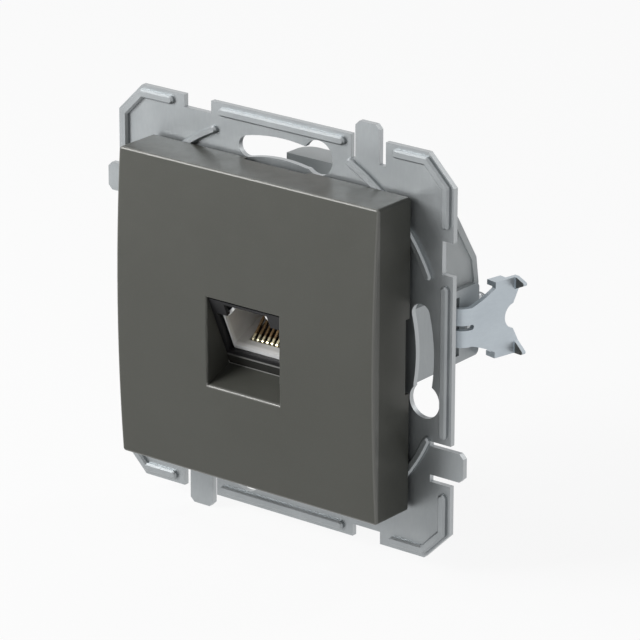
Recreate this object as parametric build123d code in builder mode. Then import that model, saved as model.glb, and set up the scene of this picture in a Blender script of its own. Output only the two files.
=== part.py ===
from build123d import *
import os
from math import atan2, cos, degrees, radians, sin, sqrt

# Flush ethernet wall socket for a 60 mm box. +Z is up, +X is right, the front faces -Y.
# The origin is the centre of the support frame's back face, the plane of the wall.

# Support frame, pressed from sheet
frame_side = 71.0
frame_sheet = 1.0
frame_corner_cut = 5.2
frame_opening = 50.0
frame_opening_radius = 8.0
notch_centre = -18.1
notch_width = 5.8
notch_depth = 2.2
tab_centre = 17.8
tab_width = 5.0
tab_reach = 2.6
tab_corner = 0.8
tab_slot_inner = 0.9
tab_slot_outer = 1.3
tab_slot_depth = 4.2

# Pressed ribs of the frame
rib_width = 1.5
rib_height = 0.75
rib_bevel = 0.32
rib_inset = 1.45
long_rib = 26.8
corner_rib_start = 23.9
corner_rib_turn = 30.1
groove_width = 0.8
groove_depth = 0.45
brace_radius = 33.9
brace_width = 1.4
brace_height = 0.85
brace_from = 25.2
brace_to = 64.8

# Keyholes for the box screws
screw_circle = 30.0
keyhole_half = 1.85
keyhole_end = 99.9
lobe_offset = 7.6
lobe_radius = 3.05

# Ears that carry the claws, bent back from the sides of the opening
ear_outer_x = 25.5
ear_root_half = 6.6
ear_end_half = 6.4
ear_length = 20.2
ear_window_half = 5.2
ear_window_start = 4.0
ear_window_end = 14.6
ear_slot_half = 1.65
ear_slot_start = 16.2
ear_relief = 1.0
ear_bend_round = 0.8
lug_front = 3.0
lug_half = 3.8
lug_reach = 8.2
lug_room = 1.9

# Claws
claw_sheet = 0.9
claw_splay = 12.1
hook_inner_radius = 1.5
hook_gap_half = 0.45
hook_gap_end = 0.7
hook_leg = 0.2
claw_length = 10.75
claw_waist_half = 3.45
claw_waist_end = 0.3
claw_flare_start = 5.5
claw_flare_half = 5.7
claw_wing_half = 6.8
claw_notch_radius = 2.3
claw_notch_depth = 3.05
claw_notch_corner = 0.45
claw_mouth_half = 4.65
flange_reach = 1.3
flange_length = 3.0
tooth_reach = 2.6
tooth_tip_z = {1: 6.7, -1: 5.9}
tooth_tip_radius = 0.35
hook_play = 0.15
ear_corner = 1.0

# Claw screws and their nuts
screw_x = 20.5
screw_radius = 1.5
screw_clearance = 0.2
screw_head_radius = 2.8
screw_head_height = 1.9
screw_head_bevel = 0.6
screw_length = 25.0
screw_tip_bevel = 0.45
recess_width = 0.7
recess_length = 3.6
recess_depth = 1.1
nut_behind_pivot = 5.746
nut_half = 3.0
nut_thickness = 4.0
nut_corner = 0.5
nut_nose_radius = 1.0
nut_nose_half = 1.3
nut_nose_x = 26.4
thread_clearance = 0.03

# Cover
cover_side = 55.0
cover_front_y = -10.53
cover_back_y = -2.0
cover_dome = 1.15
cover_wall = 1.6
cover_front_wall = 1.8
cover_edge = 0.4
cover_corner = 0.6
cover_notch_half = 6.6
cover_notch_depth = 1.0
recess_half = 7.7
recess_top = 5.15
recess_floor_front_y = -11.38
recess_floor_front_z = -10.6
recess_floor_back_y = -5.49
recess_floor_back_z = -8.12
recess_wall = 1.2
recess_edge = 0.3
clip_x = 17.0
clip_width = 6.0
clip_thickness = 1.4
clip_end_y = 1.6
clip_hook = 0.7
clip_play = 0.3
clip_z = 22.0

# Jack, tilted so that its mouth faces forward and down
jack_tilt = 24.0
mouth_y = -7.49
mouth_z = -1.37
mouth_half = 6.1
mouth_floor = -3.2
mouth_shoulder = 3.5
key_shoulder_half = 4.9
key_half = 3.3
key_step = 5.2
key_top = 6.4
plug_depth = 10.2
shield_sheet = 0.35
shield_depth = 12.0
lip_height = 0.9
lip_depth = 1.7
lip_round = 0.35
body_half = 7.6
body_floor = -5.4
body_top = 7.3
body_depth = 13.4
fit_gap = 0.1

# Bezel round the jack
bezel_front = 0.835
bezel_sheet = 0.75
bezel_half = 9.2
bezel_floor = -8.1
bezel_top = 7.2
bezel_window_half = 6.9
bezel_window_floor = -4.1
bezel_key_half = 4.6
bezel_play = 0.3
bezel_window_top = 4.1
bezel_window_key = 6.6

# Contacts, eight at the standard pitch
contact_count = 8
contact_pitch = 1.02
contact_width = 0.42
contact_thickness = 0.3
contact_front = 2.0
contact_low = -3.75
contact_bend = 0.33
contact_slope = 23.0
contact_run = 7.6
comb_rib = 0.4
contact_slot_top = 1.6
contact_slot_depth = 1.8
comb_end = 0.22
comb_front = 2.5
contact_seat = 1.2

# Circuit board and terminals
board_sheet = 1.4
board_half = 8.2
board_low = -6.2
board_high = 8.8
idc_inner_x = 3.4
idc_outer_x = 8.0
idc_low = -5.6
idc_high = 8.2
idc_depth = 8.4
idc_slots = 4
idc_slot_width = 0.6
idc_slot_depth = 6.5
blade_sheet = 0.4
blade_height = 2.0
blade_end_gap = 1.2
blade_slot_depth = 3.7
cap_sheet = 1.4
cap_skirt = 2.2
cable_radius = 3.6
cap_hole_radius = 3.2
shell_sheet = 0.5

# Rear housing
base_side = 51.4
base_front_y = -2.4
base_corner = 10.5
seat_gap = 0.05
rim_side = 49.2
rim_wall = 1.2
rim_back_y = 2.4
tunnel_wall = 1.2
tunnel_gap = 0.3
tunnel_depth = 27.0
cheek_outer_x = 24.35
cheek_wall = 1.3
cheek_bottom = 4.8
cheek_rib = 1.2
cheek_recess = 0.35
cheek_profile = [(0.5, 21.6), (14.5, 20.3), (20.8, 10.5), (21.5, 6.0), (21.5, cheek_bottom)]
shelf_wall = 1.2
shelf_back_y = 15.5
shelf_z = 11.1
pad_half = 8.8
pad_front_y = 11.3
pad_depth = 5.5
pad_top = 24.6
pad_sheet = 1.4
pad_corner = 2.6
pad_root = 12.0
ear_play = 0.6
tunnel_front = 4.0

# How far a cut runs past the material it goes through
cut_margin = 1.0
cut_reach = 10.0

tilt_cos = cos(radians(jack_tilt))
tilt_sin = sin(radians(jack_tilt))
jack_plane = Plane(origin=(0, mouth_y, mouth_z), x_dir=(1, 0, 0), z_dir=(0, -tilt_cos, -tilt_sin))
frame_half = frame_side / 2
cover_half = cover_side / 2
cover_apex_y = cover_front_y - cover_dome
ear_inner_x = ear_outer_x - frame_sheet
claw_pivot_x = ear_outer_x - frame_sheet / 2
bar_reach = sqrt((hook_inner_radius - hook_play) ** 2 - (frame_sheet / 2) ** 2)
claw_pivot_y = ear_window_end + bar_reach
hook_outer_radius = hook_inner_radius + claw_sheet
nut_y = claw_pivot_y + nut_behind_pivot
contact_bay_half = contact_count * contact_pitch / 2 + comb_end


def save(piece, name):
    """Label a finished piece and write it to its own STEP file."""
    piece.part.label = name
    export_step(piece.part, f"parts/{name}.step")


def jack_at(depth):
    """Plane across the jack's axis, at a depth measured inwards from the mouth."""
    return jack_plane.offset(-depth)


def tilted_box(half_x, low, high, depth_from, depth_to, mode=Mode.ADD):
    """Box square to the jack, between two heights and two depths."""
    with BuildSketch(jack_at(depth_from)) as section:
        with Locations((0, (low + high) / 2)):
            Rectangle(2 * half_x, high - low)
    extrude(section.sketch, amount=-(depth_to - depth_from), mode=mode)


def rounded_slot(start, end, width):
    """Round-ended slot between two points of a sketch."""
    run = Vector(*end) - Vector(*start)
    middle = (Vector(*end) + Vector(*start)) / 2
    angle = degrees(atan2(run.Y, run.X))
    with Locations(Location((middle.X, middle.Y), angle)):
        SlotCenterToCenter(run.length, width)


# Support frame: one pressed sheet, the same on all four sides
rib_line = frame_half - rib_inset
lobe_angle = degrees(atan2(screw_circle, lobe_offset))
quarter_turns = (0, 90, 180, 270)
tab_slot_z = frame_half - tab_slot_depth / 2

with BuildPart() as support_frame:
    with BuildSketch(Plane.XZ):
        Rectangle(frame_side, frame_side)
        chamfer(vertices(), frame_corner_cut)
        with PolarLocations(0, 4):
            with Locations((notch_centre, frame_half - notch_depth / 2)):
                Rectangle(notch_width, notch_depth, mode=Mode.SUBTRACT)
            with Locations((tab_centre - (tab_width + tab_slot_inner) / 2, tab_slot_z)):
                Rectangle(tab_slot_inner, tab_slot_depth, mode=Mode.SUBTRACT)
            with Locations((tab_centre + (tab_width + tab_slot_outer) / 2, tab_slot_z)):
                Rectangle(tab_slot_outer, tab_slot_depth, mode=Mode.SUBTRACT)
            with Locations((tab_centre, frame_half + (tab_reach - tab_corner) / 2)):
                Rectangle(tab_width, tab_reach - tab_corner)
            with Locations((tab_centre, frame_half + tab_reach - tab_corner / 2)):
                Trapezoid(tab_width, tab_corner, 45)
            with Locations((lobe_offset, screw_circle)):
                Circle(lobe_radius, mode=Mode.SUBTRACT)
        for turn in quarter_turns:
            keyhole_arc = CenterArc((0, 0), screw_circle, lobe_angle + turn, keyhole_end - lobe_angle)
            SlotArc(keyhole_arc, 2 * keyhole_half, mode=Mode.SUBTRACT)
        RectangleRounded(frame_opening, frame_opening, frame_opening_radius, mode=Mode.SUBTRACT)
    extrude(amount=frame_sheet)
    with BuildSketch(Plane.XZ.offset(frame_sheet)):
        with PolarLocations(0, 4):
            with Locations((0, rib_line)):
                SlotOverall(long_rib, rib_width)
            rounded_slot((corner_rib_start, rib_line), (corner_rib_turn, rib_line), rib_width)
            rounded_slot((corner_rib_turn, rib_line), (rib_line, corner_rib_turn), rib_width)
            rounded_slot((rib_line, corner_rib_turn), (rib_line, corner_rib_start), rib_width)
    extrude(amount=rib_height)
    with BuildSketch(Plane.XZ.offset(frame_sheet)):
        for turn in quarter_turns:
            SlotArc(CenterArc((0, 0), brace_radius, brace_from + turn, brace_to - brace_from), brace_width)
    extrude(amount=brace_height)
    rib_tops = support_frame.edges().filter_by_position(
        Axis.Y, -frame_sheet - brace_height - 0.01, -frame_sheet - rib_height + 0.01
    )
    chamfer(rib_tops, rib_bevel)
    with BuildSketch(Plane.XZ):
        with PolarLocations(0, 4):
            with Locations((0, rib_line)):
                SlotOverall(long_rib - rib_width, groove_width)
        for turn in quarter_turns:
            SlotArc(CenterArc((0, 0), brace_radius, brace_from + turn, brace_to - brace_from), groove_width)
    extrude(amount=groove_depth, mode=Mode.SUBTRACT)

    # Ears bent back from the sheet, each with a lug for the claw screw
    with BuildSketch(Plane.XZ):
        with Locations((ear_outer_x - ear_relief / 2, 0), (-ear_outer_x + ear_relief / 2, 0)):
            Rectangle(ear_relief, 2 * (ear_root_half + ear_relief))
    extrude(amount=frame_sheet, mode=Mode.SUBTRACT)
    for side in (1, -1):
        ear_plane = Plane(origin=(side * ear_inner_x, 0, 0), x_dir=(0, 1, 0), z_dir=(1, 0, 0))
        with BuildSketch(ear_plane):
            with BuildLine():
                Polyline(
                    (-frame_sheet, -ear_root_half),
                    (ear_length, -ear_end_half),
                    (ear_length, ear_end_half),
                    (-frame_sheet, ear_root_half),
                    close=True,
                )
            make_face()
            fillet(vertices().group_by(Axis.X)[-1], ear_corner)
            with Locations(((ear_window_start + ear_window_end) / 2, 0)):
                Rectangle(ear_window_end - ear_window_start, 2 * ear_window_half, mode=Mode.SUBTRACT)
            with Locations(((ear_slot_start + ear_length + cut_margin) / 2, 0)):
                Rectangle(ear_length + cut_margin - ear_slot_start, 2 * ear_slot_half, mode=Mode.SUBTRACT)
        extrude(amount=side * frame_sheet)
        bend_edge = support_frame.part.edges().filter_by(Axis.Z).filter_by_position(
            Axis.X, side * ear_inner_x - 0.01, side * ear_inner_x + 0.01
        ).filter_by_position(Axis.Y, -frame_sheet - 0.01, -frame_sheet + 0.01)
        fillet(bend_edge, ear_bend_round)
        with BuildSketch(Plane.XZ.offset(-lug_front)):
            with Locations((side * (ear_inner_x - lug_reach / 2 + frame_sheet / 2), 0)):
                Rectangle(lug_reach + frame_sheet, 2 * lug_half)
            with Locations((side * screw_x, 0)):
                Circle(screw_radius + screw_clearance, mode=Mode.SUBTRACT)
        extrude(amount=-(ear_window_start - lug_front))
save(support_frame, "support_frame")

# Claws: a splayed plate with curled hooks in front, flanges at its flare and two teeth behind
splay_cos = cos(radians(claw_splay))
splay_sin = sin(radians(claw_splay))
claw_names = {1: "right", -1: "left"}


def claw_plane(side, across=0.0):
    """Plane in the claw's sheet: local x runs back along it, local y is up."""
    pivot = Vector(side * claw_pivot_x, claw_pivot_y, 0)
    out = Vector(side * splay_cos, -splay_sin, 0)
    return Plane(origin=pivot + out * across, x_dir=(side * splay_sin, splay_cos, 0), z_dir=out * side)


for side, name in claw_names.items():
    sheet_out = side * claw_sheet
    with BuildPart() as claw:
        with BuildSketch(claw_plane(side, hook_inner_radius)):
            with BuildLine():
                notch_centre_x = claw_length - claw_notch_depth + claw_notch_radius
                notch_corner_half = sqrt(claw_notch_radius**2 - claw_notch_corner**2)
                notch_top = (notch_centre_x - claw_notch_corner, notch_corner_half)
                notch_bottom = (notch_centre_x - claw_notch_corner, -notch_corner_half)
                Line((0, claw_waist_half), (claw_waist_end, claw_waist_half))
                Spline(
                    (claw_waist_end, claw_waist_half),
                    (claw_flare_start, claw_flare_half),
                    tangents=[(1, 0.3), (1, 0.6)],
                )
                Line((claw_flare_start, claw_flare_half), (claw_flare_start, claw_wing_half))
                Line((claw_flare_start, claw_wing_half), (claw_length, claw_wing_half))
                Line((claw_length, claw_wing_half), (claw_length, claw_mouth_half))
                Line((claw_length, claw_mouth_half), notch_top)
                ThreePointArc(
                    notch_top,
                    (notch_centre_x - claw_notch_radius, 0),
                    notch_bottom,
                )
                Line(notch_bottom, (claw_length, -claw_mouth_half))
                Line((claw_length, -claw_mouth_half), (claw_length, -claw_wing_half))
                Line((claw_length, -claw_wing_half), (claw_flare_start, -claw_wing_half))
                Line((claw_flare_start, -claw_wing_half), (claw_flare_start, -claw_flare_half))
                Spline(
                    (claw_flare_start, -claw_flare_half),
                    (claw_waist_end, -claw_waist_half),
                    tangents=[(-1, 0.6), (-1, 0.3)],
                )
                Line((claw_waist_end, -claw_waist_half), (0, -claw_waist_half))
                Line((0, -claw_waist_half), (0, claw_waist_half))
            make_face()
        extrude(amount=sheet_out)
        # Hooks that curl through the ear's window
        hook_plane = Plane(
            origin=(side * claw_pivot_x, claw_pivot_y, -claw_waist_half),
            x_dir=(side * splay_cos, -splay_sin, 0),
            z_dir=(0, 0, 1),
        )
        with BuildSketch(hook_plane):
            Circle(hook_outer_radius)
            Circle(hook_inner_radius, mode=Mode.SUBTRACT)
            with Locations((0, side * hook_outer_radius)):
                Rectangle(2 * hook_outer_radius, 2 * hook_outer_radius, mode=Mode.SUBTRACT)
            with Locations((-(hook_inner_radius + hook_outer_radius) / 2, side * hook_leg / 2)):
                Rectangle(claw_sheet, hook_leg)
        extrude(amount=2 * claw_waist_half)
        with BuildSketch(claw_plane(side)):
            with Locations((hook_gap_end - hook_gap_half - hook_outer_radius, 0)):
                Rectangle(2 * hook_outer_radius, 2 * hook_gap_half)
            with Locations((hook_gap_end - hook_gap_half, 0)):
                Circle(hook_gap_half)
        extrude(amount=side * (hook_outer_radius + fit_gap), both=True, mode=Mode.SUBTRACT)
        # Stiffening flanges turned inwards along the flare
        flange_middle = claw_flare_start + flange_length / 2
        for up in (1, -1):
            with BuildSketch(claw_plane(side, hook_inner_radius - flange_reach)):
                with Locations((flange_middle, up * (claw_wing_half - claw_sheet / 2))):
                    Rectangle(flange_length, claw_sheet)
            extrude(amount=side * flange_reach)
        # Teeth turned outwards at the back end
        tooth_plane = Plane(
            origin=Vector(side * claw_pivot_x, claw_pivot_y, 0)
            + Vector(side * splay_sin, splay_cos, 0) * claw_length,
            x_dir=(side * splay_cos, -splay_sin, 0),
            z_dir=Vector(side * splay_sin, splay_cos, 0),
        )
        with BuildSketch(tooth_plane):
            for up in (1, -1):
                with BuildLine():
                    Polyline(
                        (hook_outer_radius, up * side * claw_mouth_half),
                        (hook_outer_radius, up * side * claw_wing_half),
                        (hook_outer_radius + tooth_reach, up * side * tooth_tip_z[up]),
                        close=True,
                    )
                make_face()
            fillet(vertices().sort_by(Axis.X)[-2:], tooth_tip_radius)
        extrude(amount=-claw_sheet)
    save(claw, f"claw_{name}")

    # Claw screw: pan head with a cross recess, seated on the ear's lug
    with BuildPart() as claw_screw:
        with BuildSketch(Plane.XZ.offset(-lug_front)):
            with Locations((side * screw_x, 0)):
                Circle(screw_radius)
        extrude(amount=-screw_length)
        chamfer(claw_screw.edges().group_by(Axis.Y)[-1], screw_tip_bevel)
        with BuildSketch(Plane.XZ.offset(-lug_front)):
            with Locations((side * screw_x, 0)):
                Circle(screw_head_radius)
        extrude(amount=screw_head_height)
        chamfer(claw_screw.edges().group_by(Axis.Y)[0], screw_head_bevel)
        with BuildSketch(Plane.XZ.offset(-lug_front + screw_head_height)):
            with Locations((side * screw_x, 0)):
                Rectangle(recess_length, recess_width)
                Rectangle(recess_width, recess_length)
        extrude(amount=-recess_depth, mode=Mode.SUBTRACT)
    save(claw_screw, f"claw_screw_{name}")

    # Nut that travels along the screw and spreads the claw with its round nose
    with BuildPart() as claw_nut:
        with BuildSketch(Plane.XZ.offset(-(nut_y - nut_thickness / 2))):
            with Locations((side * screw_x, 0)):
                RectangleRounded(2 * nut_half, 2 * nut_half, nut_corner)
        extrude(amount=-nut_thickness)
        with BuildSketch(Plane.XY.offset(-nut_nose_half)):
            with Locations((side * (screw_x + nut_nose_x) / 2, nut_y)):
                Rectangle(nut_nose_x - screw_x, 2 * nut_nose_radius)
            with Locations((side * nut_nose_x, nut_y)):
                Circle(nut_nose_radius)
        extrude(amount=2 * nut_nose_half)
        with BuildSketch(Plane.XZ.offset(-(nut_y - nut_thickness / 2))):
            with Locations((side * screw_x, 0)):
                Circle(screw_radius + thread_clearance)
        extrude(amount=-nut_thickness, mode=Mode.SUBTRACT)
    save(claw_nut, f"claw_nut_{name}")


# Cover: domed square shell with a funnel that leads down and in to the jack
bezel_depth = -bezel_front
floor_slope = (recess_floor_back_z - recess_floor_front_z) / (recess_floor_back_y - recess_floor_front_y)


def floor_z(y, drop=0.0):
    """Height of the recess floor at a distance from the wall, less a drop."""
    return recess_floor_front_z + (y - recess_floor_front_y) * floor_slope - drop


with BuildPart() as cover_plate:
    with BuildSketch(Plane.YZ.offset(-cover_half)):
        with BuildLine():
            Polyline((cover_front_y, cover_half), (cover_back_y, cover_half))
            Line((cover_back_y, cover_half), (cover_back_y, -cover_half))
            Line((cover_back_y, -cover_half), (cover_front_y, -cover_half))
            ThreePointArc((cover_front_y, -cover_half), (cover_apex_y, 0), (cover_front_y, cover_half))
        make_face()
    extrude(amount=cover_side)
    fillet(cover_plate.edges().filter_by(Axis.Y), cover_corner)
    front_rim = cover_plate.faces().sort_by(Axis.Y)[0].outer_wire().edges()
    fillet(front_rim, cover_edge)
    inner_half = cover_half - cover_wall
    with BuildSketch(Plane.YZ.offset(-inner_half)):
        with BuildLine():
            inner_front = cover_front_y + cover_front_wall
            Line((inner_front, inner_half), (cover_back_y, inner_half))
            Line((cover_back_y, inner_half), (cover_back_y, -inner_half))
            Line((cover_back_y, -inner_half), (inner_front, -inner_half))
            ThreePointArc(
                (inner_front, -inner_half),
                (cover_apex_y + cover_front_wall, 0),
                (inner_front, inner_half),
            )
        make_face()
    extrude(amount=2 * inner_half, mode=Mode.SUBTRACT)
    with BuildSketch(Plane.YZ.offset(-recess_half - recess_wall)):
        with BuildLine():
            Polyline(
                (cover_front_y, recess_top + recess_wall),
                (cover_front_y, floor_z(cover_front_y, recess_wall)),
                (cover_back_y, floor_z(cover_back_y, recess_wall)),
                (cover_back_y, recess_top + recess_wall),
                close=True,
            )
        make_face()
    extrude(amount=2 * (recess_half + recess_wall))
    # Room behind the funnel for the bezel and the jack
    tilted_box(
        bezel_half + bezel_play,
        -cover_side,
        bezel_top + bezel_play,
        bezel_depth - seat_gap,
        cover_side,
        Mode.SUBTRACT,
    )
    with BuildSketch(Plane.YZ.offset(-recess_half)):
        with BuildLine():
            Polyline(
                (cover_apex_y - cut_margin, recess_top),
                (cover_apex_y - cut_margin, floor_z(cover_apex_y - cut_margin)),
                (cover_back_y, floor_z(cover_back_y)),
                (cover_back_y, recess_top),
                close=True,
            )
        make_face()
    extrude(amount=2 * recess_half, mode=Mode.SUBTRACT)
    dome = cover_plate.faces().sort_by(Axis.Y)[0]
    fillet(dome.inner_wires()[0].edges(), recess_edge)
    # Rear edge notches in the middle of each side
    with BuildSketch(Plane.XZ.offset(-cover_back_y)):
        Rectangle(cover_side + 2 * cut_margin, 2 * cover_notch_half)
        Rectangle(2 * cover_notch_half, cover_side + 2 * cut_margin)
    extrude(amount=cover_notch_depth, mode=Mode.SUBTRACT)
    # Snap legs along the top and bottom, hooked behind the rear housing's base
    for up in (1, -1):
        with BuildSketch(Plane.XZ.offset(-(cover_front_y + cover_front_wall / 2))):
            with Locations(*[(x, up * clip_z) for x in (-clip_x, clip_x)]):
                Rectangle(clip_width, clip_thickness)
        extrude(amount=-(clip_end_y - cover_front_y - cover_front_wall / 2))
        with BuildSketch(Plane.XZ.offset(frame_sheet)):
            hook_z = clip_z - (clip_thickness + clip_hook) / 2
            with Locations((-clip_x, up * hook_z), (clip_x, up * hook_z)):
                Rectangle(clip_width, clip_hook)
        extrude(amount=-(clip_end_y + frame_sheet))
save(cover_plate, "cover_plate")

# Bezel: dark plate round the jack's mouth
with BuildPart() as jack_bezel:
    tilted_box(bezel_half, bezel_floor, bezel_top, bezel_depth, bezel_depth + bezel_sheet)
    with BuildSketch(jack_at(bezel_depth)):
        with BuildLine():
            Polyline(
                (-bezel_window_half, bezel_window_floor),
                (bezel_window_half, bezel_window_floor),
                (bezel_window_half, bezel_window_top),
                (bezel_key_half, bezel_window_top),
                (bezel_key_half, bezel_window_key),
                (-bezel_key_half, bezel_window_key),
                (-bezel_key_half, bezel_window_top),
                (-bezel_window_half, bezel_window_top),
                close=True,
            )
        make_face()
    extrude(amount=-bezel_sheet, mode=Mode.SUBTRACT)
save(jack_bezel, "jack_bezel")


def mouth_outline(grow, mode=Mode.ADD):
    """Stepped outline of the jack's mouth, grown by a sheet thickness."""
    right_side = [
        (mouth_half + grow, mouth_floor - grow),
        (mouth_half + grow, mouth_shoulder + grow),
        (key_shoulder_half + grow, mouth_shoulder + grow),
        (key_half + grow, key_step + grow),
        (key_half + grow, key_top + grow),
    ]
    left_side = [(-x, y) for x, y in reversed(right_side)]
    Polygon(*right_side, *left_side, align=None, mode=mode)


# Shield: thin metal can that lines the mouth, with a rounded lip below
with BuildPart() as jack_shield:
    with BuildSketch(jack_at(0)):
        mouth_outline(shield_sheet)
        mouth_outline(0, Mode.SUBTRACT)
    extrude(amount=-shield_depth)
    shield_under = mouth_floor - shield_sheet
    tilted_box(contact_bay_half, shield_under, mouth_floor, lip_depth, shield_depth, Mode.SUBTRACT)
    with BuildPart(mode=Mode.PRIVATE) as lip:
        tilted_box(mouth_half + shield_sheet, mouth_floor - lip_height, mouth_floor, 0, lip_depth)
        fillet(lip.edges().filter_by(Axis.X).sort_by(Axis.Y)[0:1], lip_round)
        fillet(lip.edges().filter_by(Axis.X).group_by(Axis.Y)[-1].sort_by(Axis.Z)[-1:], lip_round)
    add(lip.part)
save(jack_shield, "jack_shield")

# Body: dark plastic housing of the jack, round the shield
with BuildPart() as jack_body:
    tilted_box(body_half, body_floor, body_top, fit_gap, body_depth)
    with BuildSketch(jack_at(0)):
        mouth_outline(shield_sheet + fit_gap)
    extrude(amount=-body_depth, mode=Mode.SUBTRACT)
    lip_half = mouth_half + shield_sheet + fit_gap
    lip_under = mouth_floor - lip_height - fit_gap
    tilted_box(lip_half, lip_under, mouth_floor, 0, lip_depth + fit_gap, Mode.SUBTRACT)
    tilted_box(contact_bay_half, body_floor, mouth_floor, lip_depth + fit_gap, body_depth, Mode.SUBTRACT)
save(jack_body, "jack_body")

# Contact carrier: comb under the plug and a block behind it
contact_places = [(i - (contact_count - 1) / 2) * contact_pitch for i in range(contact_count)]
carrier_half = contact_bay_half - fit_gap
block_half = mouth_half - fit_gap
comb_floor = contact_low - contact_thickness / 2
block_back = body_depth - fit_gap
with BuildPart() as contact_carrier:
    tilted_box(carrier_half, body_floor, comb_floor, lip_depth + 2 * fit_gap, block_back)
    tilted_box(block_half, mouth_floor + fit_gap, mouth_shoulder - fit_gap, plug_depth, block_back)
    tilted_box(carrier_half, comb_floor, mouth_floor + fit_gap, plug_depth, block_back)
    tilted_box(key_half - fit_gap, mouth_shoulder - fit_gap, key_top - fit_gap, plug_depth, block_back)
    with BuildSketch(jack_at(comb_front)):
        rib_middle = (comb_floor + mouth_floor) / 2
        with Locations(*[(x + contact_pitch / 2, rib_middle) for x in contact_places[:-1]]):
            Rectangle(comb_rib, mouth_floor - comb_floor)
        side_rib = carrier_half - contact_places[-1] - contact_pitch / 2 + comb_rib / 2
        side_rib_x = carrier_half - side_rib / 2
        with Locations((-side_rib_x, rib_middle), (side_rib_x, rib_middle)):
            Rectangle(side_rib, mouth_floor - comb_floor)
    extrude(amount=-(plug_depth - comb_front))
    with BuildSketch(jack_at(plug_depth)):
        with Locations(*[(x, (comb_floor + contact_slot_top) / 2) for x in contact_places]):
            Rectangle(contact_width + 2 * fit_gap, contact_slot_top - comb_floor)
    extrude(amount=-contact_slot_depth, mode=Mode.SUBTRACT)
save(contact_carrier, "contact_carrier")

# Contacts: flat wires that run forward in the comb, turn over and rise inwards
for index, place in enumerate(contact_places, 1):
    section_plane = Plane(
        origin=jack_plane.from_local_coords((place, 0, 0)),
        x_dir=(0, tilt_cos, tilt_sin),
        z_dir=(1, 0, 0),
    )
    with BuildPart() as contact:
        with BuildSketch(section_plane.offset(-contact_width / 2)):
            with BuildLine():
                low_front = (contact_front + contact_bend, contact_low)
                Line((plug_depth + contact_seat, contact_low), low_front)
                turn = JernArc(low_front, (-1, 0), contact_bend, -(180 - contact_slope))
                PolarLine(turn @ 1, contact_run, contact_slope)
            trace(line_width=contact_thickness)
        extrude(amount=contact_width)
    save(contact, f"contact_{index}")


# Circuit board across the back of the jack
board_front = body_depth + fit_gap
board_back = board_front + board_sheet
with BuildPart() as circuit_board:
    tilted_box(board_half, board_low, board_high, board_front, board_back)
save(circuit_board, "circuit_board")

# Terminal blocks with a slot for each wire, and the blades in them
slot_pitch = (idc_high - idc_low) / idc_slots
slot_heights = [idc_low + (i + 0.5) * slot_pitch for i in range(idc_slots)]
idc_back = board_back + idc_depth
idc_middle_x = (idc_inner_x + idc_outer_x) / 2
for side, name in claw_names.items():
    with BuildPart() as idc_block:
        with BuildSketch(jack_at(board_back)):
            with Locations((side * idc_middle_x, (idc_low + idc_high) / 2)):
                Rectangle(idc_outer_x - idc_inner_x, idc_high - idc_low)
        extrude(amount=-idc_depth)
        with BuildSketch(jack_at(idc_back)):
            with Locations(*[(side * idc_middle_x, height) for height in slot_heights]):
                Rectangle(idc_outer_x - idc_inner_x + cut_margin, idc_slot_width)
                Rectangle(blade_sheet + 2 * fit_gap, blade_height + 2 * fit_gap)
        extrude(amount=idc_slot_depth, mode=Mode.SUBTRACT)
    save(idc_block, f"idc_block_{name}")

blade_depth = idc_slot_depth - blade_end_gap
with BuildPart() as idc_blades:
    for side in claw_names:
        with BuildSketch(jack_at(idc_back - blade_end_gap)):
            with Locations(*[(side * idc_middle_x, height) for height in slot_heights]):
                Rectangle(blade_sheet, blade_height)
        extrude(amount=blade_depth)
        with BuildSketch(jack_at(idc_back - blade_end_gap)):
            with Locations(*[(side * idc_middle_x, height) for height in slot_heights]):
                Rectangle(blade_sheet + cut_margin, idc_slot_width / 2)
        extrude(amount=blade_slot_depth, mode=Mode.SUBTRACT)
save(idc_blades, "idc_blades")

# Wire cap pressed on behind the terminals, with a hole for the cable
cap_front = idc_back + fit_gap
with BuildPart() as wire_cap:
    tilted_box(board_half, board_low, board_high, cap_front, cap_front + cap_sheet)
    with BuildSketch(jack_at(cap_front)):
        skirt_wall = idc_low - board_low - fit_gap
        with Locations((0, board_low + skirt_wall / 2), (0, board_high - skirt_wall / 2)):
            Rectangle(2 * idc_outer_x, skirt_wall)
    extrude(amount=cap_skirt)
    with BuildSketch(jack_at(cap_front)):
        with Locations((0, (board_low + board_high) / 2)):
            Circle(cap_hole_radius)
    extrude(amount=-cap_sheet, mode=Mode.SUBTRACT)
save(wire_cap, "wire_cap")

# Rear shield: thin metal shell over the terminals, with a cable hole
shell_front = body_depth + 2 * fit_gap
shell_back = cap_front + cap_sheet + fit_gap + shell_sheet
shell_half = board_half + fit_gap + shell_sheet
shell_low = board_low - fit_gap - shell_sheet
shell_high = board_high + fit_gap + shell_sheet
with BuildPart() as rear_shield:
    tilted_box(shell_half, shell_low, shell_high, shell_front, shell_back)
    tilted_box(
        shell_half - shell_sheet,
        shell_low + shell_sheet,
        shell_high - shell_sheet,
        shell_front,
        shell_back - shell_sheet,
        Mode.SUBTRACT,
    )
    with BuildSketch(jack_at(shell_back)):
        with Locations((0, (board_low + board_high) / 2)):
            Circle(cable_radius)
    extrude(amount=shell_sheet, mode=Mode.SUBTRACT)
save(rear_shield, "rear_shield")

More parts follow.
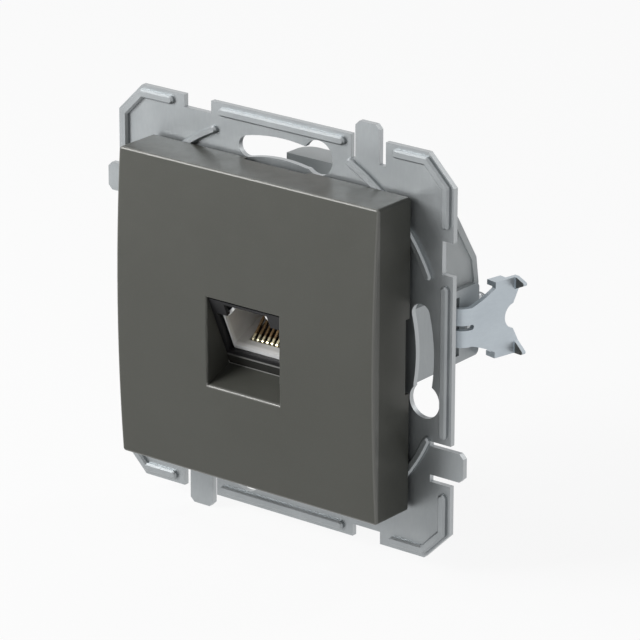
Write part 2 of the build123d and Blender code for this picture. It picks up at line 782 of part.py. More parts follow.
# Rear housing: base that seats on the frame, tilted tunnel for the jack, cheeks beside the ears
tunnel_half = shell_half + tunnel_gap
tunnel_low = min(shell_low, bezel_floor) - tunnel_gap
tunnel_high = shell_high + tunnel_gap
with BuildPart() as rear_housing:
    with BuildSketch(Plane.XZ.offset(frame_sheet + seat_gap)):
        RectangleRounded(base_side, base_side, base_corner)
    extrude(amount=-base_front_y - frame_sheet - seat_gap)
    with BuildSketch(Plane.XZ.offset(frame_sheet + seat_gap)):
        RectangleRounded(rim_side, rim_side, frame_opening_radius)
        rim_inner = rim_side - 2 * rim_wall
        RectangleRounded(rim_inner, rim_inner, frame_opening_radius - rim_wall, mode=Mode.SUBTRACT)
    extrude(amount=-(frame_sheet + seat_gap + rim_back_y))
    tilted_box(
        tunnel_half + tunnel_wall,
        tunnel_low - tunnel_wall,
        tunnel_high + tunnel_wall,
        tunnel_front,
        tunnel_depth,
    )
    # Cheeks beside the ears, joined to the tunnel by shelves
    for side in (1, -1):
        with BuildSketch(Plane.YZ.offset(side * cheek_outer_x)):
            with BuildLine():
                Polyline((0, cheek_bottom), (0, cheek_profile[0][1]), *cheek_profile, close=True)
            make_face()
        extrude(amount=-side * cheek_wall)
        with BuildSketch(Plane.YZ.offset(side * cheek_outer_x)) as panel:
            with BuildLine():
                Polyline((0, cheek_bottom), (0, cheek_profile[0][1]), *cheek_profile, close=True)
            make_face()
            offset(amount=-cheek_rib, kind=Kind.INTERSECTION, mode=Mode.REPLACE)
        extrude(amount=-side * cheek_recess, mode=Mode.SUBTRACT)
        with BuildSketch(Plane.XY.offset(shelf_z)):
            with Locations((side * (cheek_outer_x - cheek_wall / 2 + tunnel_half) / 2, shelf_back_y / 2)):
                Rectangle(cheek_outer_x - cheek_wall / 2 - tunnel_half, shelf_back_y)
        extrude(amount=shelf_wall)
    # Snap pad above the tunnel
    with BuildSketch(Plane.XY.offset(pad_top)):
        with Locations((0, pad_front_y + pad_depth / 2)):
            Rectangle(2 * pad_half, pad_depth)
        fillet(vertices().group_by(Axis.Y)[-1], pad_corner)
    extrude(amount=-pad_sheet)
    with BuildSketch(Plane.XZ.offset(-pad_front_y)):
        with Locations((0, (pad_top + pad_root) / 2)):
            Rectangle(2 * pad_half, pad_top - pad_root)
    extrude(amount=-pad_sheet)
    # Clear the inside of the tunnel, the ears, the lugs and the screwdriver's way
    tilted_box(
        tunnel_half,
        tunnel_low,
        tunnel_high,
        bezel_depth - cut_reach,
        tunnel_depth + cut_reach,
        Mode.SUBTRACT,
    )
    room_inner_x = ear_inner_x - lug_reach - lug_room
    room_outer_x = base_side / 2 + cut_margin
    for side in (1, -1):
        with BuildSketch(Plane.XZ.offset(-base_front_y + cut_margin)):
            with Locations((side * (room_inner_x + room_outer_x) / 2, 0)):
                Rectangle(room_outer_x - room_inner_x, 2 * (ear_root_half + ear_play))
        extrude(amount=-(rim_back_y - base_front_y + 2 * cut_margin), mode=Mode.SUBTRACT)
    # Slots for the cover's snap legs
    with BuildSketch(Plane.XZ.offset(-base_front_y + cut_margin)):
        for up in (1, -1):
            with Locations(*[(x, up * clip_z) for x in (-clip_x, clip_x)]):
                Rectangle(clip_width + 2 * clip_play, clip_thickness + 2 * clip_play)
    extrude(amount=-(clip_end_y - base_front_y + 2 * cut_margin), mode=Mode.SUBTRACT)
save(rear_housing, "rear_housing")
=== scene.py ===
from math import cos, pi, radians, sin

import bmesh
import bpy
import numpy as np
from mathutils import Matrix, Vector


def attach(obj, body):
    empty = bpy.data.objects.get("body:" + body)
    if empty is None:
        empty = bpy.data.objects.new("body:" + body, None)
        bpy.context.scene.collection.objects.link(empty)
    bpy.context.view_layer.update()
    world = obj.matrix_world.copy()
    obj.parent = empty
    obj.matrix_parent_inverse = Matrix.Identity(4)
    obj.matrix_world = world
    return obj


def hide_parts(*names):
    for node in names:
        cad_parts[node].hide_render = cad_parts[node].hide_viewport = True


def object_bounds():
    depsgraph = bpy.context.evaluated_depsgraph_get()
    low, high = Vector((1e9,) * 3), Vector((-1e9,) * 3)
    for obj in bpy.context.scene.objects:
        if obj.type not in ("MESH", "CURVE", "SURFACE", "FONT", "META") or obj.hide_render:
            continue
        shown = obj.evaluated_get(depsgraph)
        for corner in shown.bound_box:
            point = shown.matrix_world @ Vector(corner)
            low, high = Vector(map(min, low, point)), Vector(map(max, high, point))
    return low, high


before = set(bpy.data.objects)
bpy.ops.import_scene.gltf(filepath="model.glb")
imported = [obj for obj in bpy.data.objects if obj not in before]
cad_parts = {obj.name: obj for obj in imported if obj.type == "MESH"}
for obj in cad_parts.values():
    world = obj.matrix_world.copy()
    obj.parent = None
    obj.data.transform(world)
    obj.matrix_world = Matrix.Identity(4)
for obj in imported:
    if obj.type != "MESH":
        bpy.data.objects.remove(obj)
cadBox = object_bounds()
mm = 0.001
sides = {"right": 1, "left": -1}    # sign of x on either side


def addToScene(item):
    bpy.context.scene.collection.objects.link(item)


# camera, at the angle of the photograph
view = {
    "azimuth": 0.66340,     # from the front towards the right side, radians
    "elevation": 0.34820,
    "roll": 0.002765,
    "distance": 742.42 * mm,
    "target": (11.625 * mm, -5.53 * mm, 3.757 * mm),
    "lens": 252.02,
    "sensor": 36,
    "clip": (0.05, 20),     # nearest and farthest distance that is drawn
}


def makeCamera(v):
    az, el, roll = v["azimuth"], v["elevation"], v["roll"]
    back = Vector((sin(az) * cos(el), -cos(az) * cos(el), sin(el)))
    right = Vector((cos(az), sin(az), 0))
    up = back.cross(right)
    axisX = right * cos(roll) + up * sin(roll)
    axisY = up * cos(roll) - right * sin(roll)
    data = bpy.data.cameras.new("camera")
    data.sensor_width = v["sensor"]
    data.sensor_fit = "HORIZONTAL"
    data.lens = v["lens"]
    data.clip_start, data.clip_end = v["clip"]
    camera = bpy.data.objects.new("camera", data)
    turn = Matrix((axisX, axisY, back)).transposed().to_4x4()
    camera.matrix_world = Matrix.Translation(Vector(v["target"]) + back * v["distance"]) @ turn
    addToScene(camera)
    bpy.context.scene.camera = camera


makeCamera(view)
bpy.context.scene.view_settings.view_transform = "Standard"
print("camera set")


# a wire is one socket, and arithmetic on it adds Math nodes
class Wire:
    def __init__(self, tree, socket):
        self.tree = tree
        self.socket = socket

    def math(self, operation, first, second=0.0):
        return self.tree.add("ShaderNodeMath", {"operation": operation}, {0: first, 1: second})

    def __add__(self, other):
        return self.math("ADD", self, other)

    def __radd__(self, other):
        return self.math("ADD", other, self)

    def __sub__(self, other):
        return self.math("SUBTRACT", self, other)

    def __rsub__(self, other):
        return self.math("SUBTRACT", other, self)

    def __mul__(self, other):
        return self.math("MULTIPLY", self, other)

    def __rmul__(self, other):
        return self.math("MULTIPLY", other, self)

    def __abs__(self):
        return self.math("ABSOLUTE", self)

    def atLeast(self, other):
        return self.math("MAXIMUM", self, other)

    def atMost(self, other):
        return self.math("MINIMUM", self, other)


# a colour for a socket: a wire as it is, three linear values with an alpha of 1
def asColour(value):
    return value if isinstance(value, Wire) else (*value, 1.0)


# from the first value to the second as the share goes from 0 to 1
def between(ends, share):
    return ends[0] + (ends[1] - ends[0]) * share


jack = {"tilt": radians(24.0), "mouthY": -7.49, "mouthZ": -1.37}    # axis of the jack, mm


# the nodes of one material or world; add() makes every node: type, settings first, then sockets
class Tree:
    def __init__(self, owner):
        owner.use_nodes = True
        self.owner = owner
        self.nodes = owner.node_tree.nodes
        self.links = owner.node_tree.links
        self.nodes.clear()
        self.place = self.add("ShaderNodeTexCoord", output="Object")

    def add(self, kind, settings=None, inputs=None, output=0):
        node = self.nodes.new(kind)
        for key, value in (settings or {}).items():
            setattr(node, key, value)
        for key, value in (inputs or {}).items():
            if isinstance(value, Wire):
                self.links.new(value.socket, node.inputs[key])
            else:
                node.inputs[key].default_value = value
        return Wire(self, node.outputs[output]) if len(node.outputs) else None

    # noise of a grain size in mm, drawn out along x, y and z by the factors of stretch
    def noise(self, grain, detail=3.0, rough=0.55, stretch=(1, 1, 1)):
        scale = [1 / (grain * mm * factor) for factor in stretch]
        spot = self.add("ShaderNodeMapping", None, {"Vector": self.place, "Scale": scale})
        inputs = {"Vector": spot, "Scale": 1.0, "Detail": detail, "Roughness": rough}
        return self.add("ShaderNodeTexNoise", None, inputs)

    # 0 below low, 1 above high
    def ramp(self, value, low, high):
        inputs = {"Value": value, "From Min": low, "From Max": high}
        return self.add("ShaderNodeMapRange", {"clamp": True}, inputs)

    def mix(self, factor, first, second):
        inputs = {"Factor": factor, 6: asColour(first), 7: asColour(second)}
        return self.add("ShaderNodeMix", {"data_type": "RGBA"}, inputs, 2)

    # a normal from a height of 0 to 1 that stands for a depth in mm
    def bump(self, height, depth):
        inputs = {"Height": height, "Strength": 1.0, "Distance": depth * mm}
        return self.add("ShaderNodeBump", None, inputs)

    # coordinates in mm as three wires
    def axes(self):
        parts = self.add("ShaderNodeSeparateXYZ", None, {"Vector": self.place}).socket.node
        return [Wire(self, parts.outputs[i]) * (1 / mm) for i in range(3)]

    # distance in mm from the jack's mouth, measured inwards along its axis
    def inward(self, y, z):
        return (y - jack["mouthY"]) * cos(jack["tilt"]) + (z - jack["mouthZ"]) * sin(jack["tilt"])

    # height in mm above the axis of the mouth, square to that axis
    def upward(self, y, z):
        return (z - jack["mouthZ"]) * cos(jack["tilt"]) - (y - jack["mouthY"]) * sin(jack["tilt"])

    # the shader and its output; the keywords are its sockets, with _ for a space
    def finish(self, **sockets):
        inputs = {key.replace("_", " "): value for key, value in sockets.items()}
        shader = self.add("ShaderNodeBsdfPrincipled", None, inputs)
        self.add("ShaderNodeOutputMaterial", None, {"Surface": shader})
        return self.owner

    # 1 for what the camera sees, straight or in metal and glass, and 0 for what lights the object
    def shown(self):
        rays = self.add("ShaderNodeLightPath").socket.node.outputs
        kinds = ("Is Camera Ray", "Is Glossy Ray", "Is Transmission Ray")
        camera, glossy, through = [Wire(self, rays[kind]) for kind in kinds]
        return (camera + glossy + through).atMost(1)


def newMaterial(name):
    return Tree(bpy.data.materials.new(name))


# In all finishes below, colours are linear values, sizes and depths are in mm, and a value whose
# name ends in Cut holds the two levels of a noise that become 0 and 1.

plastics = {
    "insertBlack": {"dark": (0.009, 0.009, 0.010), "light": (0.013, 0.013, 0.014), "rough": (0.46, 0.58),
                    "grain": 0.12, "depth": 0.005, "specular": 0.30},
    "housingGrey": {"dark": (0.50, 0.525, 0.53), "light": (0.57, 0.595, 0.60), "rough": (0.46, 0.58),
                    "grain": 0.22, "depth": 0.008, "specular": 0.45},
    "carrierGrey": {"dark": (0.022, 0.020, 0.018), "light": (0.032, 0.030, 0.027), "rough": (0.46, 0.58),
                    "grain": 0.12, "depth": 0.005, "specular": 0.35},
    "terminalWhite": {"dark": (0.66, 0.66, 0.62), "light": (0.74, 0.74, 0.70), "rough": (0.40, 0.52),
                      "grain": 0.2, "depth": 0.008, "specular": 0.45},
}

# clouds in the colour and rubbed patches in the gloss, alike in all plastics
plasticWear = {"cloud": 9.0, "cloudCut": (0.3, 0.7), "rub": 3.0, "rubCut": (0.35, 0.75)}


def makePlastic(name, p, wear):
    tree = newMaterial(name)
    cloud = tree.ramp(tree.noise(wear["cloud"], detail=2.0), *wear["cloudCut"])
    rub = tree.ramp(tree.noise(wear["rub"], detail=5.0, rough=0.65), *wear["rubCut"])
    grain = tree.noise(p["grain"], detail=2.0)
    return tree.finish(Base_Color=tree.mix(cloud, p["dark"], p["light"]), Roughness=between(p["rough"], rub),
                       Specular_IOR_Level=p["specular"], Normal=tree.bump(grain, p["depth"]))


# satin lacquer of the cover; along its front edges and the opening's lower edge it is smoother and carries a
# painted highlight, and the funnel's end below the mouth carries one too
cover = {
    "dark": (0.064, 0.065, 0.056),
    "light": (0.070, 0.071, 0.062),
    "fleck": (0.100, 0.101, 0.092),
    # edge: painted highlight along the front outline and the opening's lower edge
    "edge": (0.170, 0.170, 0.158),
    # end: painted highlight on the funnel's end
    "end": (0.48, 0.48, 0.46),      # front face of the funnel's end, below the mouth
    "cloud": 16.0,
    "cloudCut": (0.25, 0.75),
    "fleckSize": 0.10,
    "fleckCut": (0.60, 0.74),
    "fleckShare": 0.5,
    "grain": 0.16,
    "depth": 0.004,
    "rub": 2.5,
    "rubCut": (0.35, 0.7),
    "rough": (0.36, 0.44),
    "edgeRough": 0.22,
    "metal": 0.12,
    "specular": 0.32,
    "half": 27.5,           # outline, from the middle
    "front": 10.53,         # how far the polish and its painted highlight reach in from the outline
    "rimWide": 0.45,        # how far the polish reaches in from the outline
    "rimDeep": 0.5,         # and back from the front edge
    "rimFull": 0.2,         # and where it is full, both ways
    "opening": (7.7, -2.75, 7.9),   # half width, middle height and half height of the opening
    "openingFront": 11.25,
    "lipWide": 0.32,        # polish and painted highlight along the opening's lower edge
    "lipFade": 0.12,
    "lipDeep": 0.25,
    "lipBelow": (10.1, 10.4),       # where it starts and is full, below the middle
    "funnelEnd": -0.885,    # distance of the funnel's end from the mouth
    "endDeep": (0.34, 0.20),        # in front of that end, where its shade starts and is full
    "endSide": 0.1,
    "endFade": 0.05,
    "endBelow": (7.6, 7.8),
}


# 1 along the cover's front outline, where the lacquer is smoother and carries a painted highlight
def coverRimHighlight(tree, c, x, y, z):
    wide = tree.ramp(abs(x).atLeast(abs(z)), c["half"] - c["rimWide"], c["half"] - c["rimFull"])
    return wide * tree.ramp(0 - y, c["front"] - c["rimDeep"], c["front"] - c["rimFull"])


# 1 along the lower edge of the opening, where the lacquer is smoother and carries a painted highlight
def coverLipHighlight(tree, c, x, y, z):
    halfX, midZ, halfZ = c["opening"]
    ring = (abs(x) - halfX).atLeast(abs(z - midZ) - halfZ)
    near = tree.ramp(c["lipWide"] - abs(ring), 0.0, c["lipFade"])
    ahead = tree.ramp(0 - y, c["openingFront"] - c["lipDeep"], c["openingFront"])
    return near * ahead * tree.ramp(0 - z, *c["lipBelow"])


# 1 on the lower part of the funnel's end, which carries a painted highlight
def funnelEnd(tree, c, x, y, z):
    start, full = c["endDeep"]
    deep = tree.ramp(tree.inward(y, z), c["funnelEnd"] - start, c["funnelEnd"] - full)
    inside = tree.ramp(c["opening"][0] + c["endSide"] - abs(x), 0.0, c["endFade"])
    return deep * inside * tree.ramp(0 - z, *c["endBelow"])


def makeCover(c):
    tree = newMaterial("coverGraphite")
    place = tree.axes()
    edge = coverRimHighlight(tree, c, *place).atLeast(coverLipHighlight(tree, c, *place))
    cloud = tree.ramp(tree.noise(c["cloud"], detail=2.0), *c["cloudCut"])
    fleck = tree.ramp(tree.noise(c["fleckSize"], detail=1.0), *c["fleckCut"])
    rub = tree.ramp(tree.noise(c["rub"], detail=4.0, rough=0.6), *c["rubCut"])
    grain = tree.noise(c["grain"], detail=2.0)
    colour = tree.mix(cloud, c["dark"], c["light"])
    colour = tree.mix(c["fleckShare"] * fleck, colour, c["fleck"])
    # painted highlight along the front outline and the opening's lower edge, where the roughness is also
    # lower
    colour = tree.mix(edge, colour, c["edge"])
    # painted highlight on the front face of the funnel's end
    colour = tree.mix(funnelEnd(tree, c, *place), colour, c["end"])
    rough = between(c["rough"], rub) * (1 - edge) + c["edgeRough"] * edge
    return tree.finish(Base_Color=colour, Roughness=rough, Metallic=c["metal"],
                       Specular_IOR_Level=c["specular"], Normal=tree.bump(grain * (1 - edge), c["depth"]))


# metals, with the way their grain is drawn out; cut is a painted highlight on the frame's cut edges, tooth a
# painted shade and dark reflection on the claws' teeth
metals = {
    "frameZinc": {"dark": (0.31, 0.33, 0.34), "light": (0.37, 0.39, 0.40), "cut": (0.47, 0.49, 0.50),
                  "rough": (0.34, 0.44), "metal": 0.7, "streak": (1, 1, 4), "grain": 0.16, "depth": 0.003},
    "clawZinc": {"dark": (0.52, 0.575, 0.62), "light": (0.60, 0.66, 0.705), "tooth": (0.115, 0.118, 0.112),
                 "rough": (0.34, 0.44), "metal": 0.7, "streak": (1, 5, 1), "grain": 0.12, "depth": 0.003},
    "screwZinc": {"dark": (0.44, 0.45, 0.46), "light": (0.56, 0.58, 0.59),
                  "rough": (0.26, 0.38), "metal": 0.85, "streak": (1, 1, 1), "grain": 0.10, "depth": 0.003},
    "shieldTin": {"dark": (0.76, 0.75, 0.73), "light": (0.88, 0.87, 0.85),
                  "rough": (0.36, 0.46), "metal": 0.45, "streak": (1, 5, 1), "grain": 0.10, "depth": 0.002},
}

metalWear = {
    "blotch": 7.0,
    "streakSize": 3,        # size of a streak against the grain
    "tintShares": (0.7, 0.3),       # blotch and streak in the colour
    "tintCut": (0.30, 0.70),
    "glossShares": (0.5, 0.5),      # blotch and grain in the gloss
    "glossCut": (0.35, 0.65),
}

# claw sheet in its own directions: how far it leans out and where its teeth start
clawSheet = {
    "lean": radians(12.1),
    "pivot": (25.0, 15.854),
    "toothFrom": 2.45,      # outwards
    "toothFade": 0.3,
    "toothFace": 9.95,      # along the sheet
    "faceFade": 0.05,
}

# flat sheet of the frame, from y = -1 to y = 0
flatSheet = {"front": (-1.04, -0.98), "back": (0.0, 0.04), "facing": (0.2, 0.5)}


# 1 on the front faces of the claws' teeth, which get a painted shade and dark reflection, darker than the
# sheet
def toothShade(tree, c):
    x, y = tree.axes()[:2]
    outX, backY = abs(x) - c["pivot"][0], y - c["pivot"][1]
    outward = outX * cos(c["lean"]) - backY * sin(c["lean"])
    along = outX * sin(c["lean"]) + backY * cos(c["lean"])
    tooth = tree.ramp(outward, c["toothFrom"], c["toothFrom"] + c["toothFade"])
    return tooth * (1 - tree.ramp(along, c["toothFace"], c["toothFace"] + c["faceFade"]))


# 1 on the cut edges of the frame's flat sheet, whose normals have little of y in them; these get a painted
# highlight
def cutEdgeHighlight(tree, f):
    y = tree.axes()[1]
    normal = tree.add("ShaderNodeNewGeometry", output="Normal")
    facing = tree.add("ShaderNodeSeparateXYZ", None, {"Vector": normal}, "Y")
    sheet = tree.ramp(y, *f["front"]) * (1 - tree.ramp(y, *f["back"]))
    return (1 - tree.ramp(abs(facing), *f["facing"])) * sheet


def makeMetal(name, m, wear):
    tree = newMaterial(name)
    blotch = tree.noise(wear["blotch"], rough=0.5)
    streak = tree.noise(m["grain"] * wear["streakSize"], detail=2.0, rough=0.5, stretch=m["streak"])
    grain = tree.noise(m["grain"], detail=2.0, rough=0.5, stretch=m["streak"])
    wide, fine = wear["tintShares"]
    tint = tree.ramp(wide * blotch + fine * streak, *wear["tintCut"])
    wide, fine = wear["glossShares"]
    gloss = tree.ramp(wide * blotch + fine * grain, *wear["glossCut"])
    colour = tree.mix(tint, m["dark"], m["light"])
    # painted highlight on the frame's cut edges
    if "cut" in m:
        colour = tree.mix(cutEdgeHighlight(tree, flatSheet), colour, m["cut"])
    # painted shade and dark reflection on the front faces of the claws' teeth
    if "tooth" in m:
        colour = tree.mix(toothShade(tree, clawSheet), colour, m["tooth"])
    return tree.finish(Base_Color=colour, Roughness=between(m["rough"], gloss), Metallic=m["metal"],
                       Normal=tree.bump(grain, m["depth"]))


# metals of the jack, with a painted highlight in front: on the tin along its rounded rim, and on the
# contacts' front bends; frontDeep is where the painted highlight stops, inwards from the mouth
jackMetals = {
    "mouthTin": {"dark": (0.70, 0.69, 0.67), "light": (0.82, 0.81, 0.79), "front": (0.96, 0.96, 0.95),
                 "frontDeep": (0.45, 0.9), "blotch": 4.0, "blotchCut": (0.30, 0.70), "streak": (1, 1, 1),
                 "rough": (0.38, 0.48), "metal": 0.45, "grain": 0.10, "depth": 0.002},
    # contactGold: dark and light are painted shade, the brown of the contacts in the jack's shadow
    "contactGold": {"dark": (0.34, 0.22, 0.12), "light": (0.46, 0.31, 0.17), "front": (0.98, 0.90, 0.62),
                    "frontDeep": (2.75, 3.1), "blotch": 1.2, "blotchCut": (0.35, 0.65), "streak": (1, 5, 1),
                    "rough": (0.22, 0.32), "metal": 0.85, "grain": 0.06, "depth": 0.001},
}


def makeJackMetal(name, m, wear):
    tree = newMaterial(name)
    y, z = tree.axes()[1:]
    # front: 1 where the painted highlight goes
    front = 1 - tree.ramp(tree.inward(y, z), *m["frontDeep"])
    blotch = tree.ramp(tree.noise(m["blotch"]), *m["blotchCut"])
    grain = tree.noise(m["grain"], detail=2.0, rough=0.5, stretch=m["streak"])
    colour = tree.mix(front, tree.mix(blotch, m["dark"], m["light"]), m["front"])
    rough = between(m["rough"], tree.ramp(grain, *wear["glossCut"]))
    return tree.finish(Base_Color=colour, Roughness=rough, Metallic=m["metal"],
                       Normal=tree.bump(grain, m["depth"]))


# green board with brighter tracks under the resist
board = {
    "resist": (0.015, 0.10, 0.045),
    "track": (0.035, 0.20, 0.085),
    "lane": 0.6,            # half the distance between two tracks
    "trackFrom": (0.34, 0.40),
    "wander": 2.0,          # how far a track strays to the side
    "wanderSize": 4.0,
    "rub": 2.0,
    "rubCut": (0.3, 0.7),
    "rough": (0.22, 0.32),
    "depth": 0.02,
}


def makeBoard(b):
    tree = newMaterial("boardGreen")
    across = tree.axes()[0] + tree.noise(b["wanderSize"]) * b["wander"]
    lane = tree.add("ShaderNodeMath", {"operation": "PINGPONG"}, {0: across, 1: b["lane"]})
    track = tree.ramp(lane, *b["trackFrom"])
    rub = tree.ramp(tree.noise(b["rub"]), *b["rubCut"])
    return tree.finish(Base_Color=tree.mix(track, b["resist"], b["track"]),
                       Roughness=between(b["rough"], rub), Normal=tree.bump(track, b["depth"]))


materials = {name: makePlastic(name, p, plasticWear) for name, p in plastics.items()}
materials.update({name: makeMetal(name, m, metalWear) for name, m in metals.items()})
materials.update({name: makeJackMetal(name, m, metalWear) for name, m in jackMetals.items()})
materials["boardGreen"] = makeBoard(board)
materials["coverGraphite"] = makeCover(cover)

contactCount = 8
nodeFinish = {
    "cover_plate": "coverGraphite", "support_frame": "frameZinc", "jack_bezel": "insertBlack",
    "rear_housing": "housingGrey", "jack_shield": "mouthTin", "jack_body": "insertBlack",
    "contact_carrier": "carrierGrey", "circuit_board": "boardGreen", "idc_block_left": "terminalWhite",
    "idc_block_right": "terminalWhite", "idc_blades": "shieldTin", "wire_cap": "terminalWhite",
    "rear_shield": "shieldTin", "claw_left": "clawZinc", "claw_right": "clawZinc",
    "claw_screw_left": "screwZinc", "claw_screw_right": "screwZinc",
    "claw_nut_left": "screwZinc", "claw_nut_right": "screwZinc",
}
nodeFinish.update({f"contact_{i + 1}": "contactGold" for i in range(contactCount)})

for node, finish in nodeFinish.items():
    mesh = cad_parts[node].data
    mesh.materials.clear()
    mesh.materials.append(materials[finish])
print("materials set on", len(nodeFinish), "nodes")


# points and faces joined to a shape
def addFaces(shape, points, faces):
    mesh = bpy.data.meshes.new("faces")
    mesh.from_pydata(points.tolist(), [], faces)
    shape.from_mesh(mesh)
    bpy.data.meshes.remove(mesh)


# a piece of the scene from a finished shape, its faces turned outwards
def addPiece(shape, name, finish):
    bmesh.ops.recalc_face_normals(shape, faces=shape.faces[:])
    mesh = bpy.data.meshes.new(name)
    shape.to_mesh(mesh)
    shape.free()
    mesh.materials.append(finish)
    piece = bpy.data.objects.new(name, mesh)
    addToScene(piece)
    return piece


# claw screws, mm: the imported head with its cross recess, and a cut thread in place of the shank
clawScrew = {
    "x": 20.5,
    "seat": 3.0,            # y of the head's underside
    "seatMargin": 0.01,
    "weld": 0.0001,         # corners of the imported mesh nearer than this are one
    "tip": 28.0,
    "pitch": 0.5,
    "crest": 1.5,
    "root": 1.22,
    "steep": 2.6,           # slope of a flank, and how much of the root is flat
    "flat": 0.8,
    "bare": 0.6,            # plain shank under the head
    "runIn": 2,             # turns over which the thread deepens
    "tipBevel": 0.45,
    "around": 40,
    "perTurn": 8,
}


# a right-hand thread on a grid of y and angle t: the radius is crest - (crest - root) (1 - wave) cut,
# where wave is a clipped triangle of the fraction of y / pitch - t / 2 pi and cut grows from 0 to 1
# below the bare shank; at the tip the radius falls by as much as y comes nearer than tipBevel
def threadGrid(s):
    rows = int((s["tip"] - s["seat"]) / s["pitch"] * s["perTurn"]) + 1
    y = np.linspace(s["seat"], s["tip"], rows)[:, None]
    t = np.linspace(0, 2 * pi, s["around"], endpoint=False)[None, :]
    phase = (y / s["pitch"] - t / (2 * pi)) % 1.0
    wave = np.clip(s["steep"] * np.abs(2 * phase - 1) - s["flat"], 0, 1)
    cut = np.clip((y - s["seat"] - s["bare"]) / (s["runIn"] * s["pitch"]), 0, 1)
    radius = s["crest"] - (s["crest"] - s["root"]) * (1 - wave) * cut
    radius = np.minimum(radius, s["crest"] - np.clip(y - s["tip"] + s["tipBevel"], 0, None))
    grid = np.stack([radius * np.sin(t), y + 0 * t, radius * np.cos(t)], axis=-1)
    return grid.reshape(-1, 3), rows


# quads between the rings of a closed grid, and the last ring as one face
def ringFaces(rows, around):
    i, j = np.meshgrid(np.arange(rows - 1), np.arange(around), indexing="ij")
    k = (j + 1) % around
    quads = np.stack([i * around + j, i * around + k, (i + 1) * around + k, (i + 1) * around + j], axis=-1)
    return quads.reshape(-1, 4).tolist() + [list(range((rows - 1) * around, rows * around))]


def makeScrew(side, s, finish):
    name = "claw_screw_" + side
    shape = bmesh.new()
    shape.from_mesh(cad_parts[name].data)
    bmesh.ops.remove_doubles(shape, verts=shape.verts[:], dist=s["weld"] * mm)
    headEnd = (s["seat"] + s["seatMargin"]) * mm
    shank = [face for face in shape.faces if max(v.co.y for v in face.verts) > headEnd]
    bmesh.ops.delete(shape, geom=shank, context="FACES")
    points, rows = threadGrid(s)
    points = points * mm
    points[:, 0] += sides[side] * s["x"] * mm
    addFaces(shape, points, ringFaces(rows, s["around"]))
    piece = addPiece(shape, "thread_" + side, finish)
    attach(piece, "screw_" + side)
    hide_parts(name)
    return len(piece.data.polygons)


for side in sides:
    print("screw", side, makeScrew(side, clawScrew, materials["screwZinc"]), "faces")


# a closed prism: the first half of the points is one end, the second half the other
def addPrism(name, points, finish):
    count = len(points) // 2
    i = np.arange(count)
    j = (i + 1) % count
    walls = np.stack([i, j, j + count, i + count], axis=-1).tolist()
    shape = bmesh.new()
    addFaces(shape, points, walls + [list(range(count)), list(range(count, 2 * count))])
    piece = addPiece(shape, name, finish)
    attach(piece, "root")


# a profile in y and z, in mm, carried straight along x from one place to the other
def sweepAcross(name, y, z, places, finish):
    ends = [np.stack([np.full(len(y), x), y, z], axis=-1) for x in places]
    addPrism(name, np.concatenate(ends) * mm, finish)


# ears, mm: the sheet in front of each window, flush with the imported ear
earWeb = {
    "inner": 24.5,
    "outer": 25.5,
    "front": 4.0,
    "back": 8.0,
    "half": 5.2,            # half height of the window
    "corner": 1.2,          # radius of the window's front corners
    "steps": 12,
}


# outline of the web in y and z: straight at the front and sides, and behind it a concave
# quarter circle in each corner, y = back + corner - corner cos a, z = half - corner + corner sin a
def webOutline(w):
    a = np.linspace(0, pi / 2, w["steps"])
    y = w["back"] + w["corner"] * (1 - np.cos(a))
    z = w["half"] - w["corner"] * (1 - np.sin(a))
    y = np.concatenate([y, [w["front"], w["front"]], y[::-1]])
    z = np.concatenate([z, [w["half"], -w["half"]], -z[::-1]])
    return y, z


def makeWeb(side, w, finish):
    places = [sides[side] * x for x in (w["inner"], w["outer"])]
    sweepAcross("ear_web_" + side, *webOutline(w), places, finish)


for side in sides:
    makeWeb(side, earWeb, materials["frameZinc"])
print("ear webs made")


# ledge along the bezel below the mouth, mm in the jack's own directions, of black plastic
# with a painted highlight along its upper edge, stronger where the rub noise is high
bezelLedge = {
    "half": 7.55,
    "low": -6.85,           # height above the mouth's axis
    "top": -4.90,
    "back": -0.815,         # distance inwards from the mouth, 0.02 inside the bezel
    "front": -1.085,
    "bevel": 0.12,
    "dark": (0.012, 0.012, 0.011),
    "light": (0.019, 0.019, 0.016),
    "edge": (0.105, 0.105, 0.100),
    "edgeShare": (0.6, 1.0),        # how much of the painted highlight shows, where the rub noise is low and where it is high
    "cloud": 6.0,
    "rub": 1.5,
    "rubCut": (0.2, 0.6),
    "rough": (0.42, 0.52),
    "specular": 0.35,
    "grain": 0.12,
    "depth": 0.005,
}


def makeLedgeBlack(w):
    tree = newMaterial("ledgeBlack")
    y, z = tree.axes()[1:]
    # edge: the painted highlight along the ledge's upper edge
    edge = tree.ramp(tree.upward(y, z), w["top"] - 2 * w["bevel"], w["top"] - w["bevel"])
    rub = tree.ramp(tree.noise(w["rub"], detail=4.0), *w["rubCut"])
    body = tree.mix(tree.noise(w["cloud"]), w["dark"], w["light"])
    colour = tree.mix(edge * between(w["edgeShare"], rub), body, w["edge"])
    grain = tree.noise(w["grain"], detail=2.0)
    return tree.finish(Base_Color=colour, Roughness=between(w["rough"], rub),
                       Specular_IOR_Level=w["specular"], Normal=tree.bump(grain, w["depth"]))


# profile of the ledge in height and depth, its upper front edge cut at 45 degrees, turned to the
# jack's tilt: y = mouthY + deep cos tilt - high sin tilt, z = mouthZ + deep sin tilt + high cos tilt
def makeLedge(w, finish):
    high = np.array([w["low"], w["low"], w["top"] - w["bevel"], w["top"], w["top"]])
    deep = np.array([w["back"], w["front"], w["front"], w["front"] + w["bevel"], w["back"]])
    y = jack["mouthY"] + deep * cos(jack["tilt"]) - high * sin(jack["tilt"])
    z = jack["mouthZ"] + deep * sin(jack["tilt"]) + high * cos(jack["tilt"])
    sweepAcross("bezel_ledge", y, z, (-w["half"], w["half"]), finish)


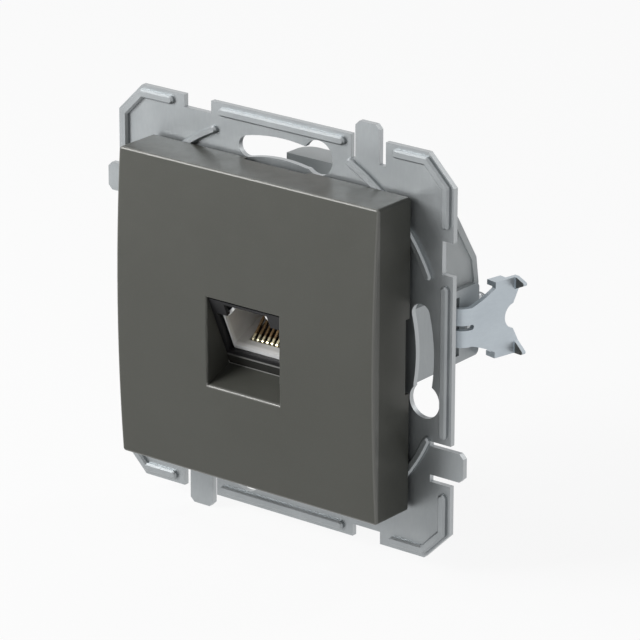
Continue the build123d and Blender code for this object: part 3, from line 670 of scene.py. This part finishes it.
makeLedge(bezelLedge, makeLedgeBlack(bezelLedge))
print("bezel ledge made")


# floor and light, metres
studio = {
    "floorHalf": 3.0,
    "floorZ": cadBox[0][2] - 0.2 * mm,
    "floorColour": (0.90, 0.90, 0.90),
    "floorGlow": 0.90,      # share of plain white in the floor's look, the rest takes light and shadow
    "glow": (1, 1, 1),
    "worldTint": (0.97, 0.985, 1.0),
    "worldLight": 0.22,
    "backdrop": (0.95, 0.95, 0.95),     # the world as the camera sees it, behind the floor
}


def makeFloor(s):
    half, z = s["floorHalf"], s["floorZ"]
    corners = [(-half, -half, z), (half, -half, z), (half, half, z), (-half, half, z)]
    mesh = bpy.data.meshes.new("floor")
    mesh.from_pydata(corners, [], [(0, 1, 2, 3)])
    floor = bpy.data.objects.new("floor", mesh)
    addToScene(floor)
    tree = newMaterial("floorWhite")
    matt = tree.add("ShaderNodeBsdfDiffuse", None, {"Color": asColour(s["floorColour"])})
    glow = tree.add("ShaderNodeEmission", None, {"Color": asColour(s["glow"]), "Strength": 1.0})
    both = tree.add("ShaderNodeMixShader", None, {0: tree.shown() * s["floorGlow"], 1: matt, 2: glow})
    tree.add("ShaderNodeOutputMaterial", None, {"Surface": both})
    mesh.materials.append(tree.owner)


def makeWorld(s):
    world = bpy.data.worlds.new("studio")
    tree = Tree(world)
    sky = {"Color": asColour(s["worldTint"]), "Strength": s["worldLight"]}
    light = tree.add("ShaderNodeBackground", None, sky)
    behind = {"Color": asColour(s["backdrop"]), "Strength": 1.0}
    white = tree.add("ShaderNodeBackground", None, behind)
    both = tree.add("ShaderNodeMixShader", None, {0: tree.shown(), 1: light, 2: white})
    tree.add("ShaderNodeOutputWorld", None, {"Surface": both})
    bpy.context.scene.world = world


# square lamps, metres and watts, each turned towards the origin
lamps = {
    "key": {"from": (-0.36, -0.42, 0.24), "size": 0.30, "power": 3.5},
    "rim": {"from": (-0.58, -0.22, 0.78), "size": 0.16, "power": 0.7},
    "side": {"from": (1.25, 0.07, 0.36), "size": 0.5, "power": 1.3},
    "back": {"from": (0.42, 1.35, 0.42), "size": 0.5, "power": 4.2},
}


def makeLamp(name, lamp):
    data = bpy.data.lights.new(name, "AREA")
    data.size = lamp["size"]
    data.energy = lamp["power"]
    place = Vector(lamp["from"])
    item = bpy.data.objects.new(name, data)
    item.matrix_world = Matrix.Translation(place) @ place.to_track_quat("Z", "Y").to_matrix().to_4x4()
    addToScene(item)


makeFloor(studio)
makeWorld(studio)
for name, lamp in lamps.items():
    makeLamp(name, lamp)
print("studio set")
